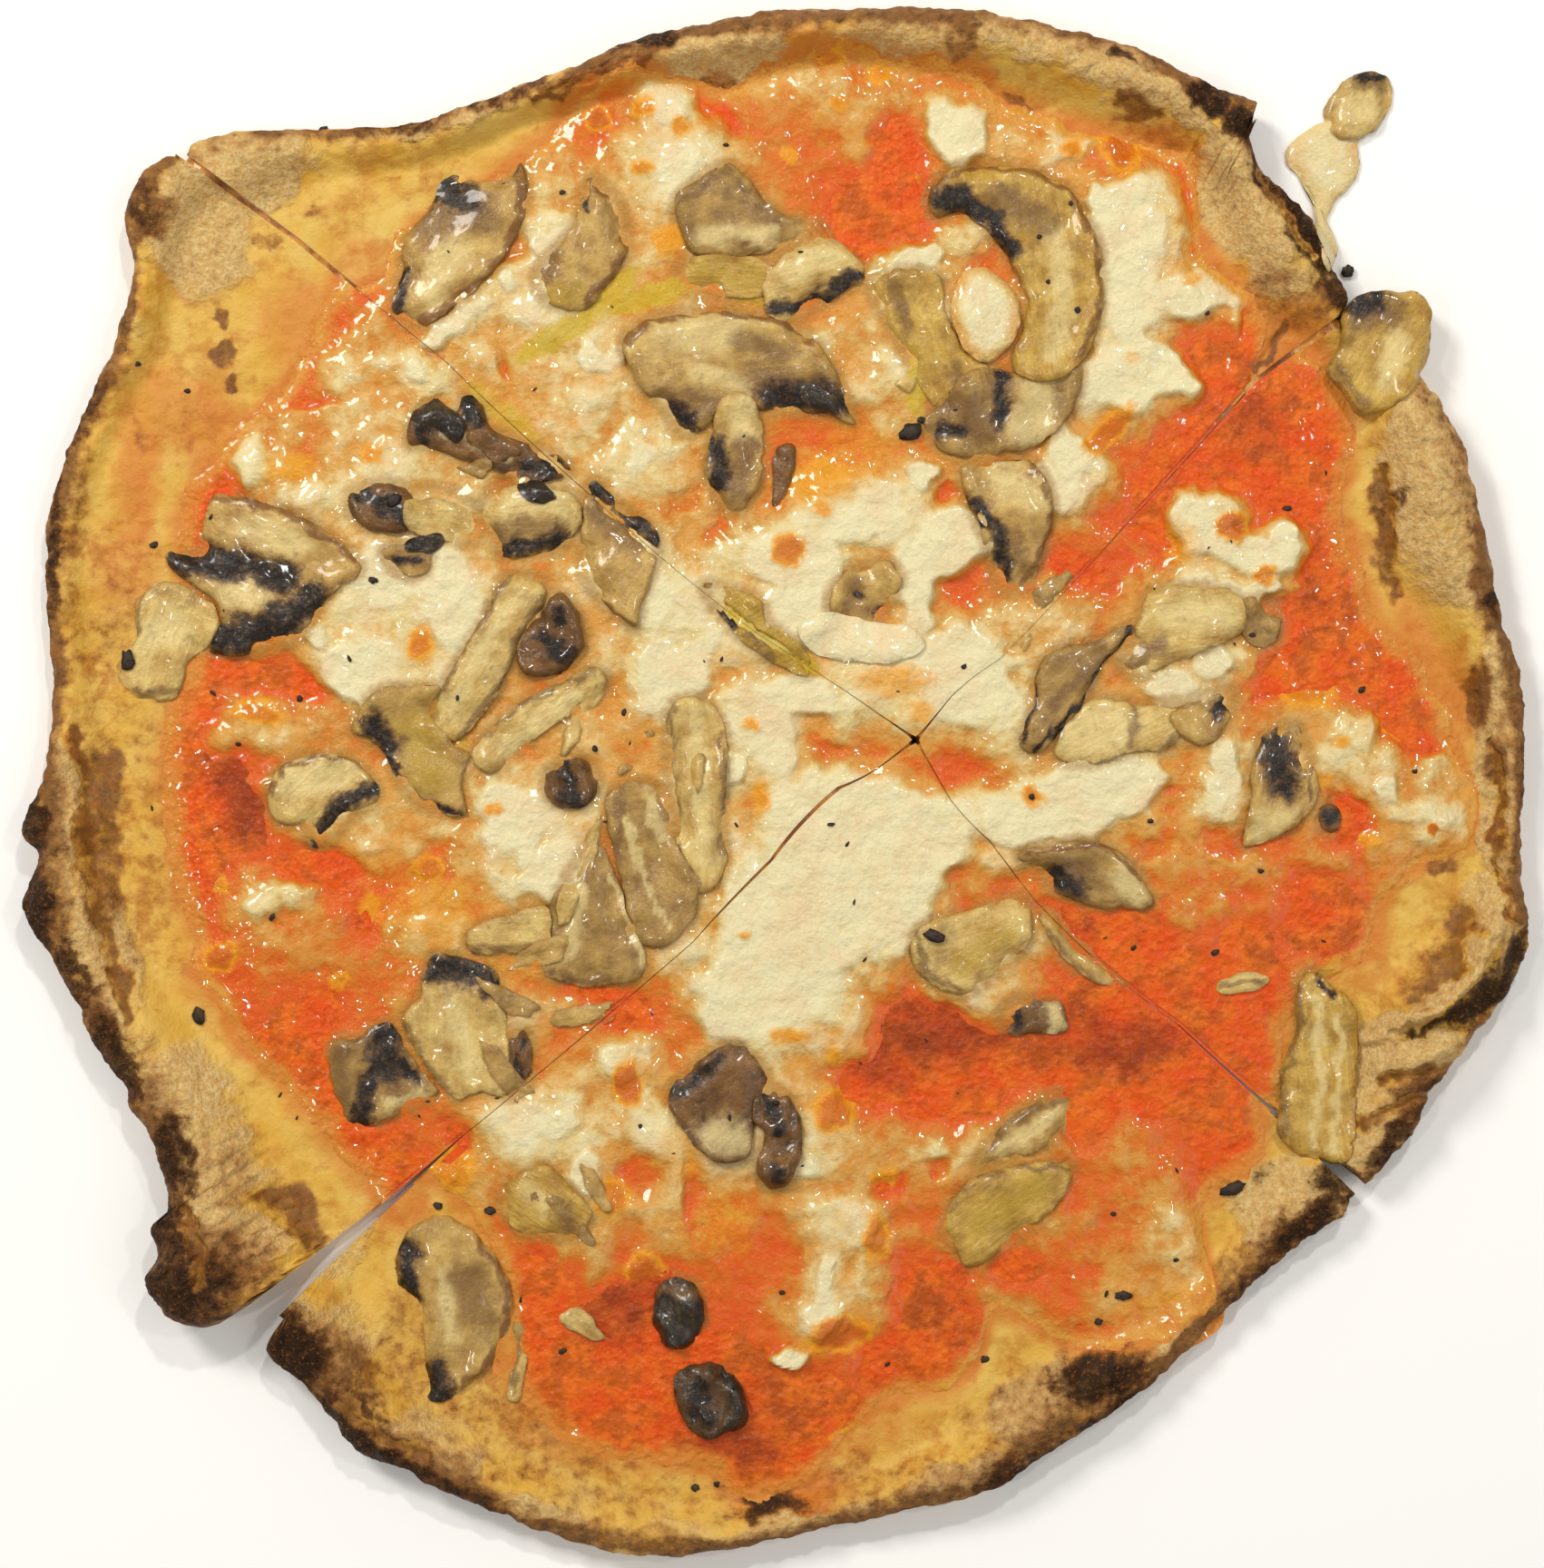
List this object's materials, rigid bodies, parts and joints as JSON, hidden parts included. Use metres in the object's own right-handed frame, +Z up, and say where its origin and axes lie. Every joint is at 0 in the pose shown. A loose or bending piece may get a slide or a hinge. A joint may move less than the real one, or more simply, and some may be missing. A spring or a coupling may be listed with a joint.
{
  "type": "mushroom pizza",
  "caption": "Round baked flat bread with a raised charred rim, tomato sauce, melted cheese and sliced mushrooms, cut into wedges that lie together, to eat.",
  "frame": {"origin": "middle of the box round the whole pizza, on the surface that it lies on", "axes": "+Z up out of the toppings, +Y away from the diner, +X to the right"},
  "size_m": [0.2968, 0.3065, 0.0167],
  "materials": {
    "baked_dough": "matte",
    "tomato_sauce": "gloss",
    "melted_cheese": "gloss",
    "mushroom": "gloss"
  },
  "bodies": {
    "root": {"cheese_bottom": "melted_cheese", "cheese_left": "melted_cheese", "cheese_right": "melted_cheese", "cheese_strand": "melted_cheese", "cheese_top": "melted_cheese", "dough_bottom": "baked_dough", "dough_left": "baked_dough", "dough_right": "baked_dough", "dough_top": "baked_dough", "mushroom_bottom_01": "mushroom", "mushroom_bottom_02": "mushroom", "mushroom_bottom_03": "mushroom", "mushroom_bottom_04": "mushroom", "mushroom_bottom_05": "mushroom", "mushroom_bottom_06": "mushroom", "mushroom_bottom_07": "mushroom", "mushroom_bottom_08": "mushroom", "mushroom_bottom_09": "mushroom", "mushroom_left_01": "mushroom", "mushroom_left_02": "mushroom", "mushroom_left_03": "mushroom", "mushroom_left_04": "mushroom", "mushroom_left_05": "mushroom", "mushroom_left_06": "mushroom", "mushroom_left_07": "mushroom", "mushroom_left_08": "mushroom", "mushroom_left_09": "mushroom", "mushroom_left_10": "mushroom", "mushroom_left_11": "mushroom", "mushroom_left_12": "mushroom", "mushroom_left_13": "mushroom", "mushroom_left_14": "mushroom", "mushroom_left_15": "mushroom", "mushroom_left_16": "mushroom", "mushroom_left_17": "mushroom", "mushroom_left_18": "mushroom", "mushroom_right_01": "mushroom", "mushroom_right_02": "mushroom", "mushroom_right_03": "mushroom", "mushroom_right_04": "mushroom", "mushroom_right_05": "mushroom", "mushroom_right_06": "mushroom", "mushroom_right_07": "mushroom", "mushroom_right_08": "mushroom", "mushroom_stray": "mushroom", "mushroom_top_01": "mushroom", "mushroom_top_02": "mushroom", "mushroom_top_03": "mushroom", "mushroom_top_04": "mushroom", "mushroom_top_05": "mushroom", "mushroom_top_06": "mushroom", "mushroom_top_07": "mushroom", "mushroom_top_08": "mushroom", "mushroom_top_09": "mushroom", "mushroom_top_10": "mushroom", "mushroom_top_11": "mushroom", "sauce_bottom": "tomato_sauce", "sauce_left": "tomato_sauce", "sauce_right": "tomato_sauce", "sauce_top": "tomato_sauce"}
  },
  "joints": []
}
